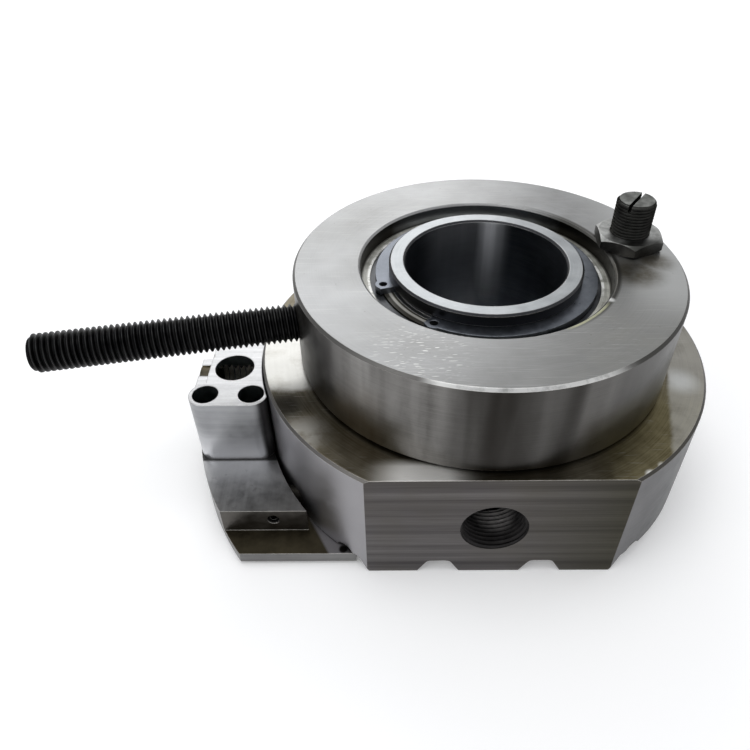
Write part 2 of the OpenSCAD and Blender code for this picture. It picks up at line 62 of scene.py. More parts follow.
class Finish:
    """One procedural material. Places, radii, distances and depths are given to it in millimetres."""

    def __init__(self, name, metallic=1.0):
        self.mat = bpy.data.materials.new(name)
        self.mat.use_nodes = True
        self.tree = self.mat.node_tree
        self.tree.nodes.clear()
        out = self.node("ShaderNodeOutputMaterial")
        self.bsdf = self.node("ShaderNodeBsdfPrincipled")
        self.bsdf.inputs["Metallic"].default_value = metallic
        self.link(self.bsdf.outputs["BSDF"], out.inputs["Surface"])
        coords = self.node("ShaderNodeTexCoord")
        self.point = coords.outputs["Object"]
        scale = self.node("ShaderNodeVectorMath", operation="SCALE")
        self.link(self.point, scale.inputs[0])
        scale.inputs["Scale"].default_value = 1.0 / mm
        self.place = scale.outputs[0]
        self.x, self.y, self.z = self.split(self.place)
        self.nx, self.ny, self.nz = self.split(coords.outputs["Normal"])
        self.r = self.length(self.x, self.y)
        self.c = self.op("DIVIDE", self.x, self.r)
        self.s = self.op("DIVIDE", self.y, self.r)
        self.rounded = None

    def node(self, kind, **props):
        n = self.tree.nodes.new(kind)
        for k, v in props.items():
            setattr(n, k, v)
        return n

    def link(self, a, b):
        self.tree.links.new(a, b)

    def put(self, socket, value):
        if isinstance(value, bpy.types.NodeSocket):
            self.link(value, socket)
        else:
            socket.default_value = value

    def split(self, vector):
        n = self.node("ShaderNodeSeparateXYZ")
        self.link(vector, n.inputs[0])
        return n.outputs[0], n.outputs[1], n.outputs[2]

    def vec(self, x, y, z):
        n = self.node("ShaderNodeCombineXYZ")
        for socket, value in zip(n.inputs, (x, y, z)):
            self.put(socket, value)
        return n.outputs[0]

    def op(self, kind, a, b=0.0):
        n = self.node("ShaderNodeMath", operation=kind)
        for socket, value in zip(n.inputs, (a, b)):
            self.put(socket, value)
        return n.outputs[0]

    def add(self, a, b):
        return self.op("ADD", a, b)

    def sub(self, a, b):
        return self.op("SUBTRACT", a, b)

    def mul(self, a, b):
        return self.op("MULTIPLY", a, b)

    def either(self, a, b):
        return self.op("MAXIMUM", a, b)

    def inverse(self, a):
        return self.sub(1.0, a)

    def length(self, a, b):
        """Length of the flat vector (a, b)."""
        return self.op("SQRT", self.add(self.mul(a, a), self.mul(b, b)))

    def share(self, a, b, part):
        """Mean of a and b in which a counts for the given part."""
        return self.add(self.mul(a, part), self.mul(b, 1.0 - part))

    def ramp(self, value, low, high, a=0.0, b=1.0, kind="LINEAR"):
        """Goes from a to b as value goes from low to high, and stays level outside."""
        n = self.node("ShaderNodeMapRange", clamp=True, interpolation_type=kind)
        for socket, v in zip(n.inputs[:5], (value, low, high, a, b)):
            self.put(socket, v)
        return n.outputs[0]

    def fade(self, value, low, high, a=0.0, b=1.0):
        """A ramp with soft ends."""
        return self.ramp(value, low, high, a, b, "SMOOTHSTEP")

    def mix(self, fac, a, b):
        n = self.node("ShaderNodeMix", data_type="RGBA", blend_type="MIX")
        self.put(n.inputs[0], fac)
        for socket, value in ((n.inputs[6], a), (n.inputs[7], b)):
            if isinstance(value, bpy.types.NodeSocket):
                self.link(value, socket)
            else:
                socket.default_value = (*value, 1.0)
        return n.outputs[2]

    def blend(self, value, low, high, dark, light):
        """From dark to light as value goes from low to high."""
        return self.mix(self.ramp(value, low, high), dark, light)

    def paint(self, base, where, colour, amount=1.0):
        """Lays a colour over base where the mask is."""
        if amount != 1.0:
            where = self.mul(where, amount)
        return self.mix(where, base, colour)

    def noise(self, vector, detail=2.0, rough=0.5, warp=0.0):
        n = self.node("ShaderNodeTexNoise")
        self.link(vector, n.inputs["Vector"])
        n.inputs["Scale"].default_value = 1.0
        n.inputs["Detail"].default_value = detail
        n.inputs["Roughness"].default_value = rough
        n.inputs["Distortion"].default_value = warp
        return n.outputs["Fac"]

    def scaled(self, sx, sy, sz, turn=0.0):
        """The point in metres, scaled along each axis and turned about Z."""
        n = self.node("ShaderNodeMapping")
        self.link(self.point, n.inputs["Vector"])
        n.inputs["Rotation"].default_value = (0.0, 0.0, turn)
        n.inputs["Scale"].default_value = (sx, sy, sz)
        return n.outputs[0]

    def grain(self, scale, detail, rough):
        """Noise that is alike in every direction."""
        return self.noise(self.scaled(scale, scale, scale), detail, rough)

    def turned(self, around, across, detail, rough):
        """Lines that a lathe leaves: long round the Z axis and close together across it."""
        along = self.mul(self.add(self.r, self.z), across)
        return self.noise(self.vec(self.mul(self.c, around), self.mul(self.s, around), along), detail, rough)

    def bands(self, around, upward, detail=2.0, rough=0.5, warp=0.0):
        """Upright bands round the Z axis."""
        vector = self.vec(self.mul(self.c, around), self.mul(self.s, around), self.mul(self.z, upward))
        return self.noise(vector, detail, rough, warp)

    def scratches(self, strokes, low, high):
        """Thin strokes, each kind given by its scale along X, Y and Z and its turn."""
        total = None
        for stroke in strokes:
            mark = self.ramp(self.noise(self.scaled(*stroke), 1.0, 0.4), low, high)
            total = mark if total is None else self.either(total, mark)
        return total

    def spot(self, centre, inside, outside):
        """1 within the first distance of a point, 0 beyond the second."""
        n = self.node("ShaderNodeVectorMath", operation="DISTANCE")
        self.link(self.place, n.inputs[0])
        n.inputs[1].default_value = centre
        return self.fade(n.outputs["Value"], inside, outside, 1.0, 0.0)

    def edges(self, radius, low=0.02, high=0.22):
        """1 along sharp edges, from how far the rounded normal turns from the face's own."""
        bevel = self.node("ShaderNodeBevel", samples=6)
        bevel.inputs["Radius"].default_value = radius * mm
        geometry = self.node("ShaderNodeNewGeometry")
        dot = self.node("ShaderNodeVectorMath", operation="DOT_PRODUCT")
        self.link(bevel.outputs[0], dot.inputs[0])
        self.link(geometry.outputs["Normal"], dot.inputs[1])
        self.rounded = bevel.outputs[0]
        return self.ramp(self.inverse(dot.outputs["Value"]), low, high)

    def painted_corner_shade(self, distance, open_at, amount):
        """Painted shade: the given amount deep in corners, falling to 0 in the open."""
        n = self.node("ShaderNodeAmbientOcclusion", samples=6)
        n.inputs["Distance"].default_value = distance * mm
        return self.ramp(n.outputs["AO"], 0.20, open_at, amount, 0.0)

    def bump(self, height, strength, depth=0.05):
        n = self.node("ShaderNodeBump")
        n.inputs["Strength"].default_value = strength
        n.inputs["Distance"].default_value = depth * mm
        self.link(height, n.inputs["Height"])
        if self.rounded is not None:
            self.link(self.rounded, n.inputs["Normal"])
        return n.outputs[0]

    def brushed_round(self, amount):
        """Stretches highlights round the Z axis, as on turned metal."""
        self.bsdf.inputs["Anisotropic"].default_value = amount
        tangent = self.node("ShaderNodeTangent", direction_type="RADIAL", axis="Z")
        self.link(tangent.outputs[0], self.bsdf.inputs["Tangent"])

    def less_glare(self, where, tint):
        """Takes some of the glare off a surface that is seen at a slant."""
        white = (1.0, 1.0, 1.0)
        self.link(self.mix(where, white, (tint, tint, tint)), self.bsdf.inputs["Specular Tint"])

    def finish(self, colour, rough, normal):
        self.link(colour, self.bsdf.inputs["Base Color"])
        self.link(rough, self.bsdf.inputs["Roughness"])
        self.link(normal, self.bsdf.inputs["Normal"])
        return self.mat


def body_side(f, fine, broad):
    """Side of the flange: painted light, pale towards the slide on the left; painted shade, darker and
    duller on the right.
    """
    side = f.blend(f.share(fine, broad, 0.30), 0.30, 0.72, (0.140, 0.135, 0.141), (0.245, 0.238, 0.242))
    # Painted light: the side paled towards the slide on the left.
    side = f.paint(side, f.ramp(f.x, -20, -50), (0.42, 0.412, 0.430), 0.85)
    # Painted shade: the side darker and with less glare on the right.
    right = f.ramp(f.x, 20, 50)
    f.less_glare(right, 0.80)
    return f.paint(side, right, (0.075, 0.077, 0.080), 0.82)


def body_flat(f, streak, broad):
    """Milled front flat: level streaks, browner and darker to the right and along the top edge."""
    flat = f.blend(streak, 0.34, 0.66, (0.055, 0.050, 0.051), (0.140, 0.132, 0.130))
    flat = f.paint(flat, f.ramp(broad, 0.42, 0.74), (0.084, 0.076, 0.058), 0.45)
    brown = f.blend(streak, 0.36, 0.64, (0.026, 0.024, 0.016), (0.056, 0.052, 0.037))
    flat = f.paint(flat, f.ramp(f.x, 4, 36), brown, 0.92)
    return f.paint(flat, f.ramp(f.z, 38.5, 41.5), (0.060, 0.055, 0.048), 0.35)


def flange_top(f, fine, broad, grime):
    """Top of the flange: a brown film, with a painted reflection beside the block and at the far right,
    painted shade below the rod, a painted light patch on the left and a painted highlight at the far right.
    """
    plate = f.blend(f.share(fine, grime, 0.55), 0.32, 0.70, (0.100, 0.086, 0.056), (0.245, 0.224, 0.176))
    plate = f.paint(plate, f.ramp(broad, 0.42, 0.66), (0.064, 0.051, 0.028), 0.55)
    film = f.blend(f.share(fine, grime, 0.40), 0.34, 0.66, (0.078, 0.063, 0.026), (0.215, 0.188, 0.098))
    plate = f.paint(plate, f.mul(f.fade(f.x, 24, 36), f.ramp(f.y, -18, -34)), film, 0.72)
    # Painted shade on the flange top below the rod.
    painted_shade_spot = f.spot((-63.0, -32.0, FLANGE_TOP), 2, 11)
    plate = f.paint(plate, painted_shade_spot, (0.022, 0.020, 0.016), 0.85)
    # Painted light: a paler patch on the left of the flange top.
    painted_light = f.mul(f.spot((-56.0, -44.5, FLANGE_TOP), 2, 11), f.ramp(grime, 0.40, 0.56, 0.30, 1.0))
    plate = f.paint(plate, painted_light, (0.27, 0.26, 0.235))
    # Painted reflection: the flange top paled beside the block, where it mirrors the bright surroundings,
    # and at the far right.
    left = f.mul(f.fade(f.add(f.y, f.mul(grime, 4.0)), -24.5, -21.5), f.ramp(f.y, 12, 2))
    left = f.mul(left, f.ramp(f.x, -50, -56))
    past = f.add(f.add(f.x, f.mul(f.y, -0.28)), f.mul(grime, 2.0))
    right = f.mul(f.fade(past, 63.8, 65.6, 0.0, 0.42), f.ramp(f.y, 30, 0))
    painted_reflection = f.mul(f.either(left, right), f.ramp(grime, 0.30, 0.50, 0.72, 1.0))
    plate = f.paint(plate, painted_reflection, (0.54, 0.536, 0.51))
    chip = f.spot((40.8, -60.6, FLANGE_TOP), 0.6, 2.2)
    chips = f.either(chip, f.spot((45.0, -57.7, FLANGE_TOP), 0.6, 2.0))
    plate = f.paint(plate, f.mul(chips, f.ramp(grime, 0.40, 0.52, 0.30, 1.0)), (0.90, 0.90, 0.86))
    # Painted highlight near the far right of the flange top.
    gleam = f.mul(f.spot((61.0, -22.5, FLANGE_TOP), 1, 8), right)
    return f.paint(plate, gleam, (0.80, 0.82, 0.82), 1.10)


def bar_bore(f, fine, broad):
    """Dark bore with a painted highlight, a soft upright gleam at the back: its colour, and the mask of the
    painted highlight.
    """
    inside = f.blend(f.share(fine, broad, 0.35), 0.35, 0.68, (0.080, 0.090, 0.106), (0.190, 0.204, 0.228))
    strip = f.ramp(f.bands(9.0, 0.008), 0.32, 0.62, 0.78, 1.0)
    # Painted highlight: a soft upright gleam on the back of the bore, and a fainter one to its left.
    painted_gleam = f.mul(f.fade(f.c, -0.10, 0.16), f.fade(f.c, 0.22, 0.50, 1.0, 0.0))
    painted_gleam = f.mul(painted_gleam, f.fade(f.z, 34, 70))
    faint_gleam = f.mul(f.fade(f.c, 0.0, 0.30, 0.35, 0.0), f.fade(f.c, -0.85, -0.50))
    faint_gleam = f.mul(faint_gleam, f.fade(f.z, 52, 70, 0.55, 1.0))
    painted_gleam = f.mul(f.mul(f.either(painted_gleam, faint_gleam), strip), f.ramp(f.y, 0, 12))
    return f.paint(inside, painted_gleam, (0.96, 0.97, 1.00)), painted_gleam


def body_finish():
    f = Finish("milled_body_steel")
    fine = f.turned(2.5, 2.6, 3.0, 0.65)
    broad = f.grain(38.0, 3.0, 0.6)
    grime = f.grain(120.0, 5.0, 0.62)
    streak = f.share(f.noise(f.scaled(3.0, 5.0, 330.0)), f.noise(f.scaled(36.0, 30.0, 2600.0)), 0.72)
    top = f.ramp(f.nz, 0.80, 0.95)
    front = f.mul(f.ramp(f.ny, -0.97, -0.999), f.ramp(f.y, -61.8, -62.2))
    tube = f.ramp(f.r, 34.5, 33.5)
    bore = f.mul(f.ramp(f.r, 26.2, 25.6), f.ramp(f.nz, 0.6, 0.3))
    base = f.mix(front, body_side(f, fine, broad), body_flat(f, streak, broad))
    # Painted highlight along the front edge of the flange top.
    painted_shine = f.mul(f.spot((-21.0, -61.0, FLANGE_TOP), 5, 18), f.ramp(f.y, -54, -57))
    plate = f.paint(flange_top(f, fine, broad, grime), painted_shine, (0.98, 0.97, 0.94))
    base = f.paint(base, top, plate)
    base = f.paint(base, f.ramp(f.nz, -0.80, -0.95), (0.17, 0.165, 0.16))
    chamfer = f.mul(f.mul(f.ramp(f.nz, 0.50, 0.60), f.ramp(f.nz, 0.90, 0.80)), f.ramp(f.r, 70.0, 71.5))
    base = f.paint(base, chamfer, (0.060, 0.056, 0.048), 0.85)
    base = f.paint(base, f.mul(tube, f.inverse(top)), (0.045, 0.046, 0.050))
    cap = f.blend(f.share(fine, grime, 0.35), 0.36, 0.66, (0.30, 0.315, 0.325), (0.45, 0.468, 0.478))
    base = f.paint(base, f.mul(tube, top), cap)
    inside, painted_gleam = bar_bore(f, fine, broad)
    base = f.paint(base, bore, inside)
    # Painted shade: near black in the rim notches at the front corners.
    left_notch_shade = f.spot((-44.7, -57.5, LEDGE_TOP), 1.8, 2.8)
    notch_shade = f.either(left_notch_shade, f.spot((44.7, -57.5, LEDGE_TOP), 2.2, 3.4))
    base = f.paint(base, notch_shade, (0.012, 0.010, 0.009))
    from_hole = f.length(f.x, f.sub(f.z, FRONT_HOLE_Z))
    hole = f.mul(f.ramp(from_hole, 10.3, 10.1), f.ramp(f.y, -26, -27))
    base = f.paint(base, f.mul(hole, f.inverse(front)), (0.060, 0.057, 0.055))
    cuts = f.scratches(((140.0, 2300.0, 300.0, 0.5), (170.0, 2600.0, 300.0, -0.9)), 0.70, 0.76)
    base = f.paint(base, f.mul(cuts, top), (0.60, 0.59, 0.56), 0.16)
    at_hole = f.mul(f.ramp(from_hole, 11.6, 10.8), f.ramp(f.y, -56, -57))
    worn = f.mul(f.mul(f.edges(0.35), f.inverse(at_hole)), f.ramp(grime, 0.36, 0.56, 0.35, 1.0))
    base = f.paint(base, worn, (0.66, 0.64, 0.60))
    # Painted shade darkening the body's corners.
    base = f.paint(base, f.painted_corner_shade(1.5, 0.55, 0.30), (0.050, 0.044, 0.036))
    rough = f.ramp(f.share(fine, grime, 0.5), 0.3, 0.7, 0.27, 0.42)
    rough = f.add(rough, f.mul(f.either(f.mul(painted_gleam, bore), f.mul(painted_shine, top)), 0.24))
    height = f.add(f.mul(fine, f.inverse(front)), f.mul(streak, f.mul(front, 1.6)))
    f.brushed_round(0.35)
    return f.finish(base, rough, f.bump(height, 0.22, 0.06))


def ring_side(f, fine, broad, grime, turn, top):
    """Side of the ring: upright bands, a stretch of painted shade in front, oil low on the left, painted
    light low on the right, painted shade on the right and a painted shadow of the rod on the left.
    """
    band = f.bands(5.5, 0.012, 2.0, 0.5, 0.4)
    thin_band = f.bands(11.0, 0.040, 3.0, 0.6, 0.5)
    tone = f.add(f.add(f.mul(band, 0.56), f.mul(thin_band, 0.16)), f.mul(f.add(fine, grime), 0.14))
    side = f.blend(tone, 0.36, 0.66, (0.070, 0.066, 0.062), (0.262, 0.256, 0.246))
    oil = f.mul(f.fade(turn, -2.25, -2.05, 1.0, 0.0), f.ramp(f.z, 66, 50))
    side = f.paint(side, f.mul(oil, f.ramp(broad, 0.46, 0.62)), (0.110, 0.080, 0.042), 0.55)
    shade = f.mul(f.fade(turn, -1.90, -1.74), f.fade(turn, -1.30, -1.05, 1.0, 0.10))
    side = f.paint(side, f.mul(shade, f.ramp(band, 0.30, 0.70, 0.95, 0.72)), (0.020, 0.018, 0.016))
    # Painted shade: the side darker and with less glare on the right.
    right = f.fade(turn, -1.22, -0.98)
    f.less_glare(f.mul(right, f.inverse(top)), 0.84)
    side = f.paint(side, right, (0.075, 0.074, 0.072), 0.70)
    # Painted light low on the right of the side.
    low_right = f.mul(f.mul(f.fade(turn, -1.25, -1.00), f.ramp(f.z, 62, 47)), f.ramp(f.y, 20, 0))
    side = f.paint(side, f.mul(low_right, f.ramp(broad, 0.36, 0.60, 0.30, 0.75)), (0.260, 0.242, 0.180))
    # Painted shadow of the torque rod on the left of the side.
    return f.paint(side, f.fade(turn, -2.35, -2.60), (0.035, 0.032, 0.029), 0.70)


def ring_face(f, fine, broad, grime):
    """Top of the ring, stained and with painted shade round the nut: its colour, and the mask of the dashes
    near the front.
    """
    cloud = f.add(f.mul(broad, 0.55), f.mul(f.add(fine, grime), 0.225))
    face = f.blend(cloud, 0.36, 0.64, (0.245, 0.246, 0.242), (0.365, 0.369, 0.372))
    stain = f.ramp(f.share(broad, grime, 0.6), 0.40, 0.60, 0.35, 1.0)
    to_right = f.fade(f.sub(f.x, f.mul(f.y, 0.60)), 20, 60)
    face = f.paint(face, f.mul(to_right, stain), (0.212, 0.206, 0.170), 0.50)
    # Painted light on the right of the ring top.
    face = f.paint(face, f.mul(f.fade(f.x, 30, 55), f.fade(f.y, -40, -15)), (0.50, 0.505, 0.50), 0.80)
    face = f.paint(face, f.ramp(f.y, -28, -45), (0.17, 0.17, 0.165), 0.14)
    # Dark brown below the nut: an oil drip stain and painted shade of the nut and stud.
    drip_and_shade = f.either(f.spot((44.6, -7.5, RING_TOP), 3, 11), f.spot((51.5, -1.5, RING_TOP), 2, 8))
    patchy = f.ramp(f.share(broad, grime, 0.4), 0.34, 0.56, 0.45, 0.90)
    face = f.paint(face, f.mul(drip_and_shade, patchy), (0.082, 0.071, 0.047))
    long_cuts = ((60.0, 3400.0, 10.0, 0.8), (70.0, 3000.0, 10.0, -0.5), (50.0, 3200.0, 10.0, 1.9))
    face = f.paint(face, f.scratches(long_cuts, 0.68, 0.74), (0.70, 0.70, 0.68), 0.14)
    faint = f.mul(f.spot((30.0, -40.0, RING_TOP), 4, 14), 0.15)
    zone = f.either(f.spot((-22.0, -45.0, RING_TOP), 4, 19), faint)
    short_cuts = ((330.0, 2600.0, 10.0, 0.15), (380.0, 2900.0, 10.0, 0.55), (300.0, 2500.0, 10.0, -0.25))
    dashes = f.mul(f.scratches(short_cuts, 0.69, 0.75), zone)
    face = f.paint(face, dashes, (0.85, 0.85, 0.83), 0.60)
    specks = f.ramp(f.grain(900.0, 1.0, 0.5), 0.74, 0.80)
    return f.paint(face, specks, (0.16, 0.15, 0.13), 0.6), dashes


def ring_finish():
    f = Finish("turned_ring_steel")
    fine = f.turned(2.0, 3.0, 3.0, 0.65)
    broad = f.grain(34.0, 3.0, 0.55)
    grime = f.grain(170.0, 5.0, 0.66)
    turn = f.op("ARCTAN2", f.y, f.x)
    top = f.ramp(f.nz, 0.80, 0.95)
    at_recess = f.ramp(f.r, 41.2, 40.4)
    inner_edge = f.mul(at_recess, f.ramp(f.nz, 0.50, 0.62))
    recess = f.mul(at_recess, f.ramp(f.nz, 0.62, 0.50))
    face, dashes = ring_face(f, fine, broad, grime)
    base = f.mix(f.either(top, inner_edge), ring_side(f, fine, broad, grime, turn, top), face)
    # Painted light and shade on the wall of the recess: dark towards its sides, pale at the back.
    base = f.paint(base, recess, f.blend(f.y, 26, 38, (0.022, 0.020, 0.016), (0.330, 0.345, 0.358)))
    # Painted shade along the inner edge of the ring top on the right.
    base = f.paint(base, f.mul(inner_edge, f.ramp(f.x, 15, 30)), (0.040, 0.038, 0.032), 0.85)
    lip = f.mul(f.ramp(f.r, 40.5, 40.1), f.mul(f.ramp(turn, -1.12, -1.02), f.ramp(turn, -0.60, -0.70)))
    lip = f.mul(f.mul(lip, top), f.ramp(grime, 0.34, 0.50, 0.35, 0.85))
    base = f.paint(base, lip, (0.50, 0.50, 0.34))
    # Painted highlight: a small bright spot by the edge of the recess.
    base = f.paint(base, f.spot((33.4, -21.9, RING_TOP), 0.3, 1.5), (0.90, 0.90, 0.88), 0.75)
    # Painted shade along the outer edge on the right, which also keeps the edge wear off there.
    dark_edge = f.mul(f.fade(turn, -1.15, -0.85), f.ramp(turn, 0.25, 0.05))
    dark_edge = f.mul(f.ramp(f.r, 57, 58), dark_edge)
    worn = f.mul(f.edges(0.40), f.inverse(f.mul(dark_edge, 0.90)))
    base = f.paint(base, f.mul(worn, f.ramp(f.r, 40.4, 41.2, 0.25, 0.80)), (0.62, 0.60, 0.55))
    chamfer = f.mul(f.mul(f.ramp(f.nz, 0.50, 0.62), f.ramp(f.nz, 0.92, 0.82)), f.ramp(f.r, 58.8, 59.0))
    # Painted highlight on the outer chamfer at the front-left.
    lit = f.mul(f.fade(turn, -1.98, -1.86), f.fade(turn, -1.20, -0.95, 1.0, 0.0))
    lit = f.mul(lit, f.ramp(grime, 0.30, 0.50, 0.4, 0.9))
    base = f.paint(base, chamfer, f.mix(lit, (0.100, 0.098, 0.094), (0.90, 0.90, 0.88)), 0.85)
    base = f.paint(base, f.mul(chamfer, dark_edge), (0.034, 0.033, 0.030), 0.55)
    # Painted shade darkening the ring's corners.
    base = f.paint(base, f.painted_corner_shade(3.0, 0.65, 0.45), (0.05, 0.045, 0.036))
    rough = f.add(f.ramp(f.share(fine, grime, 0.45), 0.3, 0.7, 0.26, 0.40), f.mul(top, 0.03))
    f.brushed_round(0.40)
    return f.finish(base, rough, f.bump(f.add(fine, f.mul(dashes, 1.2)), 0.20, 0.06))


def slide_tread(f, grime):
    """Level faces of the slide: pale next to the block, brown towards the body, oily on the low ledge."""
    streak = f.noise(f.scaled(700.0, 14.0, 16.0), 3.0, 0.6)
    tread = f.blend(f.share(streak, grime, 0.35), 0.36, 0.66, (0.190, 0.191, 0.194), (0.320, 0.322, 0.327))
    tread = f.paint(tread, f.ramp(f.add(f.y, f.mul(f.x, -0.35)), -8, -26), (0.085, 0.080, 0.068), 0.55)
    tread = f.paint(tread, f.fade(f.y, -42, -31), (0.60, 0.602, 0.612), 0.60)
    # Painted shade: near black where the tread runs under the block's front.
    tread = f.paint(tread, f.ramp(f.y, -29.6, -28.8), (0.012, 0.011, 0.010), 0.9)
    ledge = f.mix(grime, (0.026, 0.022, 0.014), (0.082, 0.070, 0.045))
    # Painted reflection of the body's side: a pale strip on the ledge beside it.
    beside = f.add(f.add(f.x, 49.7), f.mul(f.add(f.y, 59.6), 0.528))
    strip = f.mul(f.ramp(beside, -0.4, 0.6), f.ramp(f.y, -30, -45))
    ledge = f.paint(ledge, strip, (0.190, 0.184, 0.188))
    # Painted shade: a near black spot at the rim notch.
    ledge = f.paint(ledge, f.spot((-45.2, -58.0, LEDGE_TOP), 0.9, 1.8), (0.010, 0.009, 0.008))
    return f.mix(f.ramp(f.z, 8, 6), tread, ledge)


def slide_finish():
    f = Finish("milled_slide_steel")
    streak = f.noise(f.scaled(26.0, 10.0, 900.0), 3.0, 0.6)
    broad = f.grain(55.0, 3.0, 0.6)
    grime = f.grain(210.0, 5.0, 0.66)
    top = f.ramp(f.nz, 0.80, 0.95)
    side = f.blend(f.share(streak, broad, 0.45), 0.34, 0.68, (0.120, 0.119, 0.118), (0.225, 0.223, 0.220))
    riser = f.mul(f.ramp(f.ny, -0.90, -0.98), f.mul(f.ramp(f.z, 5.2, 5.6), f.ramp(f.y, -50.0, -50.3)))
    side = f.paint(side, riser, f.mix(grime, (0.045, 0.041, 0.037), (0.150, 0.141, 0.130)))
    base = f.mix(top, side, slide_tread(f, grime))
    base = f.paint(base, f.mul(top, f.ramp(grime, 0.60, 0.72)), (0.022, 0.019, 0.015), 0.4)
    worn = f.mul(f.edges(0.35), f.inverse(f.mul(riser, 0.75)))
    base = f.paint(base, f.mul(worn, f.ramp(grime, 0.34, 0.56, 0.4, 0.95)), (0.62, 0.60, 0.56))
    # Painted shade darkening the slide's corners.
    base = f.paint(base, f.painted_corner_shade(3.0, 0.65, 0.55), (0.030, 0.027, 0.023))
    normal = f.bump(f.add(streak, f.mul(grime, 0.6)), 0.22, 0.06)
    return f.finish(base, f.ramp(grime, 0.3, 0.7, 0.30, 0.46), normal)


def block_finish():
    f = Finish("ground_block_steel")
    streak = f.noise(f.scaled(30.0, 30.0, 620.0), 3.0, 0.6)
    broad = f.grain(60.0, 3.0, 0.6)
    grime = f.grain(260.0, 5.0, 0.66)
    grind = f.noise(f.scaled(60.0, 1500.0, 10.0, 0.2))
    top = f.ramp(f.nz, 0.80, 0.95)
    side = f.blend(f.share(streak, broad, 0.40), 0.34, 0.68, (0.240, 0.244, 0.254), (0.358, 0.363, 0.374))
    # Painted light: the block's sides paler towards the bottom.
    side = f.paint(side, f.ramp(f.z, 30, 17), (0.72, 0.725, 0.75), 0.76)
    face = f.blend(f.share(grind, grime, 0.4), 0.34, 0.66, (0.37, 0.372, 0.376), (0.58, 0.583, 0.588))
    base = f.mix(top, side, face)
    base = f.paint(base, f.mul(top, f.ramp(grime, 0.66, 0.74)), (0.12, 0.11, 0.10), 0.7)
    # Painted shade in the block's holes: dark deep down, paler towards the top.
    hole_depth_shade = f.mix(f.mul(grime, f.ramp(f.z, 28, 39)), (0.040, 0.055, 0.058), (0.45, 0.50, 0.50))
    upright = f.ramp(f.nz, 0.6, 0.3)
    for x, y, radius in BLOCK_HOLES:
        inside = f.ramp(f.length(f.sub(f.x, x), f.sub(f.y, y)), radius, radius - 0.2)
        base = f.paint(base, f.mul(inside, upright), hole_depth_shade)
    # Painted shade: the block's right face near black.
    right = f.mul(f.fade(f.x, -72.8, -71.0), f.ramp(f.y, -15, -18))
    base = f.paint(base, f.mul(f.inverse(top), right), (0.030, 0.028, 0.027), 0.90)
    worn = f.mul(f.edges(0.40), f.ramp(grime, 0.34, 0.56, 0.4, 0.95))
    base = f.paint(base, worn, (0.74, 0.73, 0.71))
    # Painted shade darkening the block's corners.
    base = f.paint(base, f.painted_corner_shade(2.0, 0.60, 0.30), (0.030, 0.027, 0.023))
    normal = f.bump(f.add(streak, f.mul(grind, 0.6)), 0.20, 0.06)
    return f.finish(base, f.ramp(grime, 0.3, 0.7, 0.28, 0.44), normal)


def oxide_finish(name, dark, light, edge, rough=(0.38, 0.55), worn_top=None):
    """Black oxide: near black, greyer on edges and on a worn top, given as its height and colour."""
    f = Finish(name)
    patch = f.grain(420.0, 4.0, 0.65)
    broad = f.grain(70.0, 3.0, 0.6)
    base = f.blend(f.share(patch, broad, 0.6), 0.34, 0.68, dark, light)
    worn = f.mul(f.edges(0.30, 0.03, 0.30), f.ramp(patch, 0.34, 0.60, 0.25, 0.9))
    base = f.paint(base, worn, edge)
    if worn_top is not None:
        height, tone = worn_top
        top = f.mul(f.ramp(f.nz, 0.70, 0.80), f.ramp(f.z, height - 0.4, height))
        base = f.paint(base, top, f.blend(patch, 0.34, 0.66, tuple(0.55 * v for v in tone), tone))
    f.bsdf.inputs["Specular Tint"].default_value = (0.10, 0.10, 0.10, 1.0)
    return f.finish(base, f.ramp(patch, 0.3, 0.7, *rough), f.bump(patch, 0.18))


def plain_metal(name, low, high, rough=(0.25, 0.40), edge=None):
    """A machined metal with fine patches: bushes, spacers, rods."""
    f = Finish(name)
    patch = f.grain(300.0, 4.0, 0.65)
    fine = f.turned(2.0, 3.2, 2.0, 0.6)
    base = f.blend(f.share(patch, fine, 0.6), 0.34, 0.66, low, high)
    base = f.paint(base, f.edges(0.25, 0.03, 0.30), edge or tuple(min(1.0, v * 1.4) for v in high), 0.7)
    return f.finish(base, f.ramp(patch, 0.3, 0.7, *rough), f.bump(fine, 0.15))


def nut_finish():
    """Worn black oxide: grey on top but with painted shade in front of the stud, painted light on the flats
    facing left, and a bright rub on one corner.
    """
    f = Finish("nut_black_oxide")
    patch = f.grain(360.0, 4.0, 0.65)
    tone = f.ramp(patch, 0.34, 0.66)
    side = f.mix(tone, (0.018, 0.018, 0.017), (0.048, 0.047, 0.044))
    # Painted light on the flats that face left.
    painted_light = f.mul(f.fade(f.nx, 0.05, -0.45), f.ramp(patch, 0.34, 0.60, 0.35, 1.0))
    side = f.paint(side, painted_light, (0.150, 0.145, 0.136), 0.30)
    side = f.paint(side, f.spot((41.5, -2.2, 76.5), 1.8, 4.6), (0.300, 0.290, 0.275), 0.9)
    side = f.paint(side, f.spot((39.5, 1.0, 76.5), 1.0, 3.0), (0.120, 0.116, 0.110), 0.5)
    top = f.mix(tone, (0.230, 0.233, 0.224), (0.470, 0.474, 0.460))
    # Painted shade on the top in front of the stud.
    shaded = f.mul(f.fade(f.y, 7.5, 2.8), f.fade(f.x, 40.0, 45.5, 0.30, 1.0))
    top = f.paint(top, shaded, (0.026, 0.026, 0.023), 0.92)
    base = f.mix(f.ramp(f.nz, 0.70, 0.80), side, top)
    worn = f.mul(f.edges(0.30, 0.03, 0.30), f.ramp(patch, 0.34, 0.60, 0.15, 0.6))
    base = f.paint(base, worn, (0.16, 0.16, 0.15))
    return f.finish(base, f.ramp(patch, 0.3, 0.7, 0.34, 0.50), f.bump(patch, 0.18))


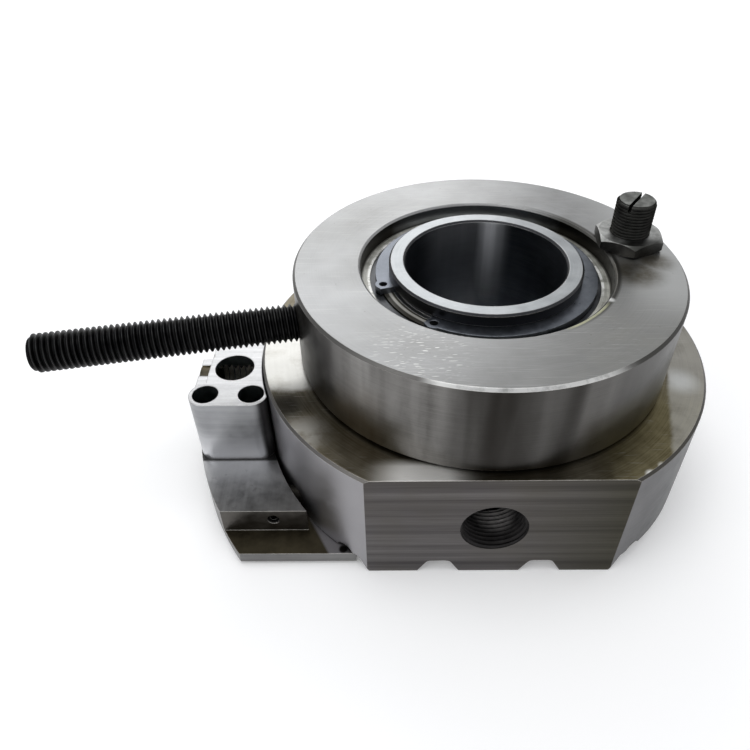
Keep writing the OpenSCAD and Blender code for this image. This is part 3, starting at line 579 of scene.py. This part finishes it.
def race_finish():
    """Ground race rings under a film of old grease, with painted shade on the right and a painted highlight
    along the inner edge.
    """
    f = Finish("greased_race_steel", metallic=0.35)
    patch = f.grain(260.0, 4.0, 0.65)
    fine = f.turned(3.0, 2.4, 2.0, 0.6)
    tone = f.ramp(f.share(patch, fine, 0.55), 0.36, 0.64)
    base = f.mix(tone, (0.240, 0.238, 0.205), (0.600, 0.597, 0.555))
    right_shade = f.mix(tone, (0.150, 0.150, 0.125), (0.520, 0.520, 0.470))
    # Painted shade: the races darker on the right.
    base = f.paint(base, f.fade(f.x, 10, 30), right_shade, 0.72)
    # Painted highlight along the inner edge of the outer race.
    edge_highlight = f.mul(f.ramp(f.r, 37.0, 36.7), f.ramp(f.r, 35.8, 36.2))
    edge_highlight = f.mul(edge_highlight, f.mul(f.ramp(patch, 0.40, 0.52, 0.15, 1.0), f.ramp(f.y, -14, -8)))
    base = f.paint(base, edge_highlight, (0.90, 0.90, 0.87))
    base = f.paint(base, f.ramp(f.r, 38.3, 38.6), (0.030, 0.028, 0.022), 0.8)
    line = f.mul(f.ramp(f.r, 30.6, 30.8), f.ramp(f.r, 31.8, 31.5))
    inner_ring = f.mix(line, (0.045, 0.042, 0.034), (0.50, 0.49, 0.45))
    base = f.paint(base, f.ramp(f.r, 33.4, 33.1), inner_ring)
    f.edges(0.25)
    return f.finish(base, f.ramp(patch, 0.3, 0.7, 0.32, 0.50), f.bump(fine, 0.15))


def clip_finish():
    """Blued spring steel, with painted light on its left, and chipped at one lug."""
    f = Finish("blued_circlip_steel")
    patch = f.grain(300.0, 4.0, 0.65)
    broad = f.grain(70.0, 3.0, 0.6)
    tone = f.ramp(f.share(patch, broad, 0.6), 0.34, 0.68)
    base = f.mix(tone, (0.085, 0.094, 0.108), (0.165, 0.178, 0.200))
    # Painted light: paler on the left.
    pale = f.mix(tone, (0.125, 0.137, 0.156), (0.200, 0.215, 0.245))
    base = f.paint(base, f.fade(f.x, -20, -29), pale, 0.92)
    worn = f.mul(f.edges(0.30, 0.03, 0.30), f.ramp(patch, 0.34, 0.60, 0.25, 0.9))
    base = f.paint(base, worn, (0.42, 0.44, 0.48))
    chip = f.mul(f.spot((-19.4, -24.2, 70.2), 0.6, 2.0), f.ramp(patch, 0.36, 0.50, 0.3, 1.0))
    base = f.paint(base, chip, (0.90, 0.91, 0.92))
    return f.finish(base, f.ramp(patch, 0.3, 0.7, 0.26, 0.38), f.bump(patch, 0.18))


def hole_finish():
    """Thread of the front hole: painted shade, near black at its mouth, with a painted light patch further
    in.
    """
    f = Finish("tapped_front_thread", metallic=0.25)
    patch = f.grain(300.0, 4.0, 0.65)
    tone = f.ramp(patch, 0.34, 0.66)
    base = f.mix(tone, (0.014, 0.013, 0.013), (0.034, 0.032, 0.032))
    lit = f.mix(tone, (0.230, 0.220, 0.214), (0.380, 0.364, 0.352))
    # Painted light on a patch deep in the hole.
    base = f.paint(base, f.spot((3.0, -50.0, 12.0), 1.2, 8.5), lit)
    f.bsdf.inputs["Specular IOR Level"].default_value = 0.15
    f.edges(0.25)
    return f.finish(base, f.ramp(patch, 0.3, 0.7, 0.60, 0.75), f.bump(patch, 0.12))


def nylon_finish():
    f = Finish("nylon", metallic=0.0)
    patch = f.grain(260.0, 4.0, 0.6)
    base = f.blend(patch, 0.3, 0.7, (0.70, 0.67, 0.58), (0.84, 0.82, 0.74))
    f.edges(0.25)
    return f.finish(base, f.ramp(patch, 0.3, 0.7, 0.38, 0.55), f.bump(patch, 0.1))


def rod_finish(name, axis_point, axis, r_root, r_out):
    """Black oxide that is worn grey on the crests of a thread round the given axis, in metres."""
    f = Finish(name)
    offset = f.node("ShaderNodeVectorMath", operation="SUBTRACT")
    f.link(f.point, offset.inputs[0])
    offset.inputs[1].default_value = axis_point
    cross = f.node("ShaderNodeVectorMath", operation="CROSS_PRODUCT")
    f.link(offset.outputs[0], cross.inputs[0])
    cross.inputs[1].default_value = axis
    length = f.node("ShaderNodeVectorMath", operation="LENGTH")
    f.link(cross.outputs[0], length.inputs[0])
    patch = f.grain(330.0, 4.0, 0.65)
    broad = f.grain(60.0, 3.0, 0.6)
    base = f.blend(patch, 0.34, 0.68, (0.004, 0.004, 0.0045), (0.014, 0.014, 0.014))
    crest = f.ramp(length.outputs["Value"], r_root + 0.72 * (r_out - r_root), r_out)
    worn = f.ramp(f.share(patch, broad, 0.5), 0.40, 0.62, 0.25, 0.85)
    base = f.paint(base, f.mul(crest, worn), (0.050, 0.050, 0.050))
    return f.finish(base, f.ramp(patch, 0.3, 0.7, 0.36, 0.52), f.bump(patch, 0.15))


# Threaded pieces

# Where in one pitch the thread's profile bends, and how high it is there
THREAD_PROFILE = ((0.0, 1.0), (0.14, 1.0), (0.44, 0.0), (0.68, 0.0))


def screw_rows(length, pitch, r_out, r_root, envelope, segments, inward):
    """Rows of (distance along the axis, radius) for each step round a right-hand thread.

    Every row follows the helix, so crests and roots stay sharp. The rows before the
    start and after the end are pressed flat on the end planes.
    """
    turns = int(math.ceil(length / pitch)) + 2
    rows = []
    for t in range(-1, turns):
        for at, up in THREAD_PROFILE:
            row = []
            for i in range(segments + 1):
                along = (t + at + i / segments) * pitch
                z = min(max(along, 0.0), length)
                height = r_root + (r_out - r_root) * up
                limit = envelope(z)
                r = max(height, limit) if inward else min(height, limit)
                row.append((z, r))
            rows.append(row)
    return rows


def thread_bmesh(length, pitch, radii, envelope, matrix, segments, caps=True, inward=False, keep=None):
    """A threaded surface along +Z of the given matrix, as one closed mesh when it has caps."""
    bm = bmesh.new()
    r_out, r_root = radii
    rows = screw_rows(length, pitch, r_out, r_root, envelope, segments, inward)
    grid = []
    for row in rows:
        line = []
        for i in range(segments):
            a = 2 * math.pi * i / segments
            z, r = row[i]
            line.append(bm.verts.new(matrix @ Vector((r * math.cos(a), r * math.sin(a), z))))
        grid.append(line)
    for j in range(len(grid) - 1):
        for i in range(segments):
            k = (i + 1) % segments
            shift = len(THREAD_PROFILE) if k == 0 else 0
            if j + 1 + shift >= len(grid):
                continue
            quad = (grid[j][i], grid[j + shift][k], grid[j + 1 + shift][k], grid[j + 1][i])
            bm.faces.new(quad)
    bmesh.ops.remove_doubles(bm, verts=bm.verts, dist=1e-6)
    bmesh.ops.dissolve_degenerate(bm, dist=1e-6, edges=bm.edges)
    if keep is not None:
        gone = [face for face in bm.faces if not keep(face.calc_center_median())]
        bmesh.ops.delete(bm, geom=gone, context="FACES")
    if caps:
        bmesh.ops.holes_fill(bm, edges=[e for e in bm.edges if e.is_boundary], sides=0)
    loose = [v for v in bm.verts if not v.link_faces]
    bmesh.ops.delete(bm, geom=loose, context="VERTS")
    bmesh.ops.recalc_face_normals(bm, faces=bm.faces)
    return bm


def steps(points):
    """Radius limit that runs straight between the given (distance, radius) points in millimetres."""
    points = [(z * mm, r * mm) for z, r in points]

    def limit(z):
        for (z0, r0), (z1, r1) in zip(points, points[1:]):
            if z <= z1:
                return r0 + (r1 - r0) * max(0.0, (z - z0)) / (z1 - z0)
        return points[-1][1]
    return limit


def frame_along(origin, direction):
    """Matrix whose Z runs along a level direction from origin."""
    z = Vector(direction).normalized()
    x = Vector((0.0, 0.0, 1.0)).cross(z).normalized()
    y = z.cross(x)
    m = Matrix((x, y, z)).transposed().to_4x4()
    m.translation = Vector(origin)
    return m


def new_piece(name, bm, material, body):
    """A smooth-shaded piece with sharp edges where the faces turn by more than 32 degrees."""
    mesh = bpy.data.meshes.new(name)
    bm.to_mesh(mesh)
    bm.free()
    for p in mesh.polygons:
        p.use_smooth = True
    mesh.set_sharp_from_angle(angle=math.radians(32.0))
    obj = bpy.data.objects.new(name, mesh)
    scene.collection.objects.link(obj)
    mesh.materials.append(material)
    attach(obj, body)
    return obj


def cut_box(obj, size, matrix):
    """Takes a box away from obj for good."""
    bm = bmesh.new()
    bmesh.ops.create_cube(bm, size=1.0, matrix=matrix @ Matrix.Diagonal((*size, 1.0)))
    mesh = bpy.data.meshes.new("cutter")
    bm.to_mesh(mesh)
    bm.free()
    cutter = bpy.data.objects.new("cutter", mesh)
    scene.collection.objects.link(cutter)
    bpy.context.view_layer.update()
    m = obj.modifiers.new("cut", "BOOLEAN")
    m.operation = "DIFFERENCE"
    m.solver = "EXACT"
    m.object = cutter
    done = bpy.data.meshes.new_from_object(obj.evaluated_get(bpy.context.evaluated_depsgraph_get()))
    obj.modifiers.clear()
    old = obj.data
    obj.data = done
    bpy.data.meshes.remove(old)
    bpy.data.objects.remove(cutter, do_unlink=True)


def torque_rod():
    """A plain core in the ring's hole, then thread all the way to the free end."""
    angle = math.radians(190.4)
    start, ring_radius, end = 41.8, 60.0, 140.0
    length = end - start
    leaves = ring_radius - start
    root, outer = 5.05, 6.0
    direction = Vector((math.cos(angle), math.sin(angle), 0.0))
    origin = direction * (start * mm) + Vector((0, 0, ROD_Z * mm))
    limit = steps([(0.0, 4.2), (0.8, root), (leaves - 1.6, root), (leaves - 0.6, outer),
                   (length - 1.1, outer), (length, 4.9)])
    matrix = frame_along(origin, direction)
    mesh = thread_bmesh(length * mm, 1.75 * mm, (outer * mm, root * mm), limit, matrix, 72)
    steel = rod_finish("rod_black_oxide", origin, direction, root * mm, outer * mm)
    rod = new_piece("torque_rod_threaded", mesh, steel, "ring")
    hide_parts("torque_rod")


def trip_stud():
    """Fine thread over the whole length, a plain trip tip, and a screwdriver slot in the top."""
    angle = math.radians(12.6)
    from_axis = 47.8 * mm
    length = STUD_TOP - STUD_TIP
    foot = Vector((from_axis * math.cos(angle), from_axis * math.sin(angle), STUD_TIP * mm))
    head = foot + Vector((0, 0, length * mm))
    limit = steps([(0.0, 2.4), (0.6, 3.0), (4.0, 3.0), (4.02, 4.9), (5.1, 6.0),
                   (length - 0.75, 6.0), (length, 5.25)])
    mesh = thread_bmesh(length * mm, 1.0 * mm, (6.0 * mm, 5.42 * mm), limit, Matrix.Translation(foot), 72)
    steel = oxide_finish("stud_black_oxide", (0.019, 0.019, 0.018), (0.054, 0.054, 0.050),
                         (0.080, 0.080, 0.075), worn_top=(STUD_TOP - 0.1, (0.34, 0.345, 0.33)))
    stud = new_piece("trip_stud_threaded", mesh, steel, "stud")
    slot_size = (30.0 * mm, 1.05 * mm, 5.0 * mm)
    cut_box(stud, slot_size, Matrix.Translation(head) @ Matrix.Rotation(math.radians(53.5), 4, "Z"))
    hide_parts("trip_stud")


def clear_of_bore(p):
    """Whether a point of the clamp thread lies outside the tool bore and below the thread's top."""
    x, y, bore_r, top = -82.0 * mm, -9.9 * mm, 6.4 * mm, 37.2 * mm
    return math.hypot(p.x - x, p.y - y) > bore_r and p.z < top


def clamp_hole_thread():
    """Thread of the tapped hole that the clamp screw runs in, where it shows in the tool bore."""
    steel = plain_metal("tapped_clamp_thread", (0.55, 0.53, 0.47), (0.90, 0.88, 0.82), (0.36, 0.52),
                        edge=(0.97, 0.96, 0.92))
    matrix = frame_along((-75.6 * mm, -9.0 * mm, 31.0 * mm), (-1, 0, 0))
    mesh = thread_bmesh(12.6 * mm, 2.0 * mm, (7.02 * mm, 6.15 * mm), lambda z: 0.0, matrix, 64,
                        caps=False, inward=True, keep=clear_of_bore)
    clamp_thread = new_piece("clamp_hole_thread", mesh, steel, "slide")


def bar_screw_hole_thread():
    """Thread of the tapped hole in the front flat, ahead of the set screw."""
    outer, root = 10.02, 9.25
    limit = steps([(0.0, outer), (1.0, root), (20.0, root)])
    matrix = frame_along((0.0, -62.2 * mm, FRONT_HOLE_Z * mm), (0, 1, 0))
    mesh = thread_bmesh(13.4 * mm, 1.5 * mm, (outer * mm, root * mm), limit, matrix, 96,
                        caps=False, inward=True)
    front_thread = new_piece("bar_screw_hole_thread", mesh, hole_finish(), "head")


torque_rod()
trip_stud()
clamp_hole_thread()
bar_screw_hole_thread()


# CAD nodes

def dress(material, *names):
    for name in names:
        mesh = nodes[name].data
        mesh.materials.clear()
        mesh.materials.append(material)


GROUND = plain_metal("ground_steel", (0.46, 0.46, 0.46), (0.62, 0.62, 0.62), (0.18, 0.30))
# Painted shade: the guide rods near black where they show in the gap beside the body.
SHADED_RODS = plain_metal("shade_darkened_rod_steel", (0.012, 0.011, 0.009), (0.032, 0.030, 0.026), (0.50, 0.62))
SPACER = plain_metal("turned_spacer_steel", (0.30, 0.30, 0.30), (0.48, 0.48, 0.48))
WHEEL = plain_metal("star_wheel_steel", (0.26, 0.26, 0.26), (0.42, 0.42, 0.42), (0.28, 0.42))
SCREW = plain_metal("feed_screw_steel", (0.14, 0.14, 0.14), (0.26, 0.26, 0.26), (0.28, 0.42))
BRONZE = plain_metal("bearing_bronze", (0.34, 0.21, 0.085), (0.56, 0.37, 0.16), (0.28, 0.44))
SHIELD = plain_metal("shield_steel", (0.050, 0.052, 0.056), (0.120, 0.124, 0.130), (0.30, 0.44))
OXIDE = oxide_finish("screw_black_oxide", (0.010, 0.010, 0.010), (0.032, 0.031, 0.030), (0.22, 0.22, 0.21))
WORN_OXIDE = oxide_finish("clamp_screw_worn_oxide", (0.030, 0.026, 0.018), (0.140, 0.125, 0.095),
                          (0.36, 0.34, 0.30), (0.32, 0.48))

dress(body_finish(), "body")
dress(ring_finish(), "torque_ring")
dress(slide_finish(), "slide_base")
dress(block_finish(), "tool_block")
dress(race_finish(), "inner_races", "outer_races")
dress(GROUND, "bearing_balls", "star_pin")
dress(SHADED_RODS, "guide_rods")
dress(SPACER, "inner_spacer", "outer_spacer")
dress(WHEEL, "star_wheel")
dress(SCREW, "feed_screw")
dress(BRONZE, "ball_cages", "thrust_washers", "screw_bush", "journal_bush", "feed_nut")
dress(SHIELD, "bearing_shields")
dress(clip_finish(), "hub_circlip")
dress(nut_finish(), "stud_nut")
dress(OXIDE, "torque_rod", "trip_stud", "bar_set_screw", "drag_screw", "block_screws", "rod_grub_screws")
dress(WORN_OXIDE, "tool_clamp_screw")
dress(nylon_finish(), "drag_plug")


# Floor, light and camera

def floor_material():
    """Pale floor that also shows a little brighter to the camera and in reflections."""
    mat = bpy.data.materials.new("pale_floor")
    mat.use_nodes = True
    tree = mat.node_tree
    bsdf = tree.nodes["Principled BSDF"]
    bsdf.inputs["Base Color"].default_value = (0.94, 0.94, 0.94, 1.0)
    bsdf.inputs["Roughness"].default_value = 1.0
    bsdf.inputs["Specular IOR Level"].default_value = 0.0
    rays = tree.nodes.new("ShaderNodeLightPath")
    seen = rays.outputs["Is Camera Ray"]
    for kind in ("Is Glossy Ray", "Is Transmission Ray"):
        either = tree.nodes.new("ShaderNodeMath")
        either.operation = "MAXIMUM"
        tree.links.new(seen, either.inputs[0])
        tree.links.new(rays.outputs[kind], either.inputs[1])
        seen = either.outputs[0]
    lift = tree.nodes.new("ShaderNodeMath")
    lift.operation = "MULTIPLY"
    lift.inputs[1].default_value = 0.14
    tree.links.new(seen, lift.inputs[0])
    bsdf.inputs["Emission Color"].default_value = (1.0, 1.0, 1.0, 1.0)
    tree.links.new(lift.outputs[0], bsdf.inputs["Emission Strength"])
    return mat


def stage_floor():
    bm = bmesh.new()
    bmesh.ops.create_grid(bm, x_segments=1, y_segments=1, size=6.0)
    mesh = bpy.data.meshes.new("floor")
    bm.to_mesh(mesh)
    bm.free()
    mesh.materials.append(floor_material())
    floor = bpy.data.objects.new("floor", mesh)
    scene.collection.objects.link(floor)
    floor.location = (0.0, 0.0, -0.2 * mm)


def soft_lamp(name, place, aim, size, power):
    data = bpy.data.lights.new(name, "AREA")
    data.shape = "RECTANGLE"
    data.size, data.size_y = size
    data.energy = power
    lamp = bpy.data.objects.new(name, data)
    scene.collection.objects.link(lamp)
    lamp.location = place
    lamp.rotation_mode = "QUATERNION"
    lamp.rotation_quaternion = (Vector(aim) - Vector(place)).to_track_quat("-Z", "Y")


def studio_world():
    """Pale world that is a little darker overhead than at the horizon."""
    world = bpy.data.worlds.new("studio")
    scene.world = world
    world.use_nodes = True
    tree = world.node_tree
    tree.nodes.clear()
    out = tree.nodes.new("ShaderNodeOutputWorld")
    background = tree.nodes.new("ShaderNodeBackground")
    coords = tree.nodes.new("ShaderNodeTexCoord")
    split = tree.nodes.new("ShaderNodeSeparateXYZ")
    ramp = tree.nodes.new("ShaderNodeMapRange")
    mix = tree.nodes.new("ShaderNodeMix")
    mix.data_type = "RGBA"
    tree.links.new(coords.outputs["Generated"], split.inputs[0])
    tree.links.new(split.outputs[2], ramp.inputs[0])
    ramp.inputs[1].default_value = 0.0
    ramp.inputs[2].default_value = 0.8
    tree.links.new(ramp.outputs[0], mix.inputs[0])
    mix.inputs[6].default_value = (0.90, 0.90, 0.90, 1.0)
    mix.inputs[7].default_value = (0.66, 0.67, 0.69, 1.0)
    tree.links.new(mix.outputs[2], background.inputs[0])
    background.inputs[1].default_value = 1.0
    tree.links.new(background.outputs[0], out.inputs[0])


def photo_camera():
    """Camera at the photograph's place: yaw from +Y towards +X, pitch downwards, and roll."""
    yaw, pitch, roll = math.radians(-1.45), math.radians(40.75), math.radians(-1.52)
    image_width, focal_pixels = 750.0, 666.26
    level = math.cos(pitch)
    forward = Vector((math.sin(yaw) * level, math.cos(yaw) * level, -math.sin(pitch)))
    right = Vector((math.cos(yaw), -math.sin(yaw), 0.0))
    up = right.cross(forward)
    side = right * math.cos(roll) + up * math.sin(roll)
    head = up * math.cos(roll) - right * math.sin(roll)
    data = bpy.data.cameras.new("camera")
    data.sensor_width = 36.0
    data.lens = data.sensor_width * focal_pixels / image_width
    data.clip_start, data.clip_end = 0.01, 50.0
    camera = bpy.data.objects.new("camera", data)
    scene.collection.objects.link(camera)
    m = Matrix((side, head, -forward)).transposed().to_4x4()
    m.translation = Vector((-0.030694, -0.180614, 0.182745))
    camera.matrix_world = m
    scene.camera = camera


stage_floor()
soft_lamp("window", (-0.20, 0.88, 0.62), (0.0, 0.0, 0.05), (0.80, 0.50), 2.3)
soft_lamp("overhead", (-0.10, 0.00, 1.00), (0.0, 0.0, 0.05), (0.60, 0.60), 2.2)
soft_lamp("fill", (-0.70, -0.50, 0.60), (0.0, 0.0, 0.04), (0.40, 0.40), 1.2)
studio_world()
photo_camera()
scene.view_settings.view_transform = "Standard"
